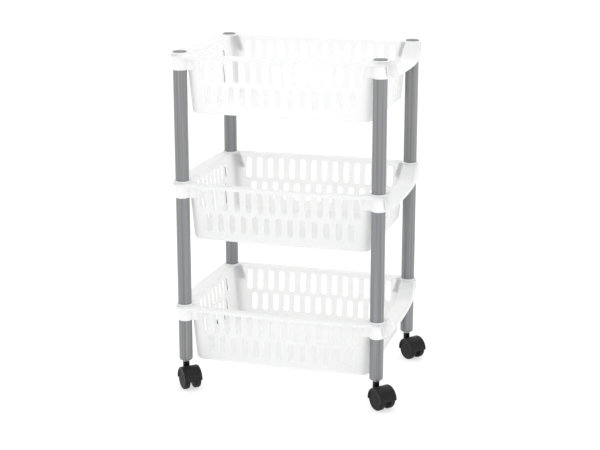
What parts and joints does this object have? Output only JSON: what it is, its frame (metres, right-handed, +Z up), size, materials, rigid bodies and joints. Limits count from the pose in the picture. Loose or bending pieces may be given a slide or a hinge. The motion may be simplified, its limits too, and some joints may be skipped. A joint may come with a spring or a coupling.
{
  "type": "basket trolley",
  "caption": "Rolling storage trolley: slotted plastic baskets on push-fit tube posts, each basket with a scooped end grip, on swivelling twin-wheel casters.",
  "frame": {"origin": "on the floor, midway between the four posts", "axes": "+Z up, -Y towards the long front side, +X towards the end with the scooped hand grips"},
  "size_m": [0.4442, 0.3469, 0.627],
  "materials": {
    "basket": "semi-gloss moulded polypropylene, white",
    "tube": "satin extruded plastic, mid grey",
    "cap": "satin moulded plastic, mid grey",
    "steel": "bright zinc-plated steel",
    "hood": "semi-gloss moulded nylon, black",
    "wheel": "satin moulded nylon, black"
  },
  "bodies": {
    "frame": {"basket_top": "basket", "basket_middle": "basket", "basket_bottom": "basket", "post_upper_fl": "tube", "post_upper_fr": "tube", "post_upper_bl": "tube", "post_upper_br": "tube", "post_middle_fl": "tube", "post_middle_fr": "tube", "post_middle_bl": "tube", "post_middle_br": "tube", "leg_fl": "tube", "leg_fr": "tube", "leg_bl": "tube", "leg_br": "tube", "cap_fl": "cap", "cap_fr": "cap", "cap_bl": "cap", "cap_br": "cap", "foot_bush_fl": "tube", "foot_bush_fr": "tube", "foot_bush_bl": "tube", "foot_bush_br": "tube", "caster_stem_fl": "steel", "caster_stem_fr": "steel", "caster_stem_bl": "steel", "caster_stem_br": "steel"},
    "caster_fl": {"caster_hood_fl": "hood", "axle_fl": "steel"},
    "roller_a_fl": {"wheel_a_fl": "wheel"},
    "roller_b_fl": {"wheel_b_fl": "wheel"},
    "caster_fr": {"caster_hood_fr": "hood", "axle_fr": "steel"},
    "roller_a_fr": {"wheel_a_fr": "wheel"},
    "roller_b_fr": {"wheel_b_fr": "wheel"},
    "caster_bl": {"caster_hood_bl": "hood", "axle_bl": "steel"},
    "roller_a_bl": {"wheel_a_bl": "wheel"},
    "roller_b_bl": {"wheel_b_bl": "wheel"},
    "caster_br": {"caster_hood_br": "hood", "axle_br": "steel"},
    "roller_a_br": {"wheel_a_br": "wheel"},
    "roller_b_br": {"wheel_b_br": "wheel"}
  },
  "joints": [
    {"name": "swivel_fl", "type": "hinge", "parent": "frame", "child": "caster_fl", "pos_m": [-0.1815, -0.1335, 0.038], "axis": [0, 0, 1], "continuous": true},
    {"name": "roll_a_fl", "type": "hinge", "parent": "caster_fl", "child": "roller_a_fl", "pos_m": [-0.16903, -0.14784, 0.02], "axis": [0.7547, 0.6561, 0], "continuous": true},
    {"name": "roll_b_fl", "type": "hinge", "parent": "caster_fl", "child": "roller_b_fl", "pos_m": [-0.16903, -0.14784, 0.02], "axis": [0.7547, 0.6561, 0], "continuous": true},
    {"name": "swivel_fr", "type": "hinge", "parent": "frame", "child": "caster_fr", "pos_m": [0.1815, -0.1335, 0.038], "axis": [0, 0, 1], "continuous": true},
    {"name": "roll_a_fr", "type": "hinge", "parent": "caster_fr", "child": "roller_a_fr", "pos_m": [0.19584, -0.14597, 0.02], "axis": [0.6561, 0.7547, 0], "continuous": true},
    {"name": "roll_b_fr", "type": "hinge", "parent": "caster_fr", "child": "roller_b_fr", "pos_m": [0.19584, -0.14597, 0.02], "axis": [0.6561, 0.7547, 0], "continuous": true},
    {"name": "swivel_bl", "type": "hinge", "parent": "frame", "child": "caster_bl", "pos_m": [-0.1815, 0.1335, 0.038], "axis": [0, 0, 1], "continuous": true},
    {"name": "roll_a_bl", "type": "hinge", "parent": "caster_bl", "child": "roller_a_bl", "pos_m": [-0.1954, 0.14646, 0.02], "axis": [-0.682, -0.7314, 0], "continuous": true},
    {"name": "roll_b_bl", "type": "hinge", "parent": "caster_bl", "child": "roller_b_bl", "pos_m": [-0.1954, 0.14646, 0.02], "axis": [-0.682, -0.7314, 0], "continuous": true},
    {"name": "swivel_br", "type": "hinge", "parent": "frame", "child": "caster_br", "pos_m": [0.1815, 0.1335, 0.038], "axis": [0, 0, 1], "continuous": true},
    {"name": "roll_a_br", "type": "hinge", "parent": "caster_br", "child": "roller_a_br", "pos_m": [0.19605, 0.12129, 0.02], "axis": [0.6428, 0.766, 0], "continuous": true},
    {"name": "roll_b_br", "type": "hinge", "parent": "caster_br", "child": "roller_b_br", "pos_m": [0.19605, 0.12129, 0.02], "axis": [0.6428, 0.766, 0], "continuous": true}
  ]
}
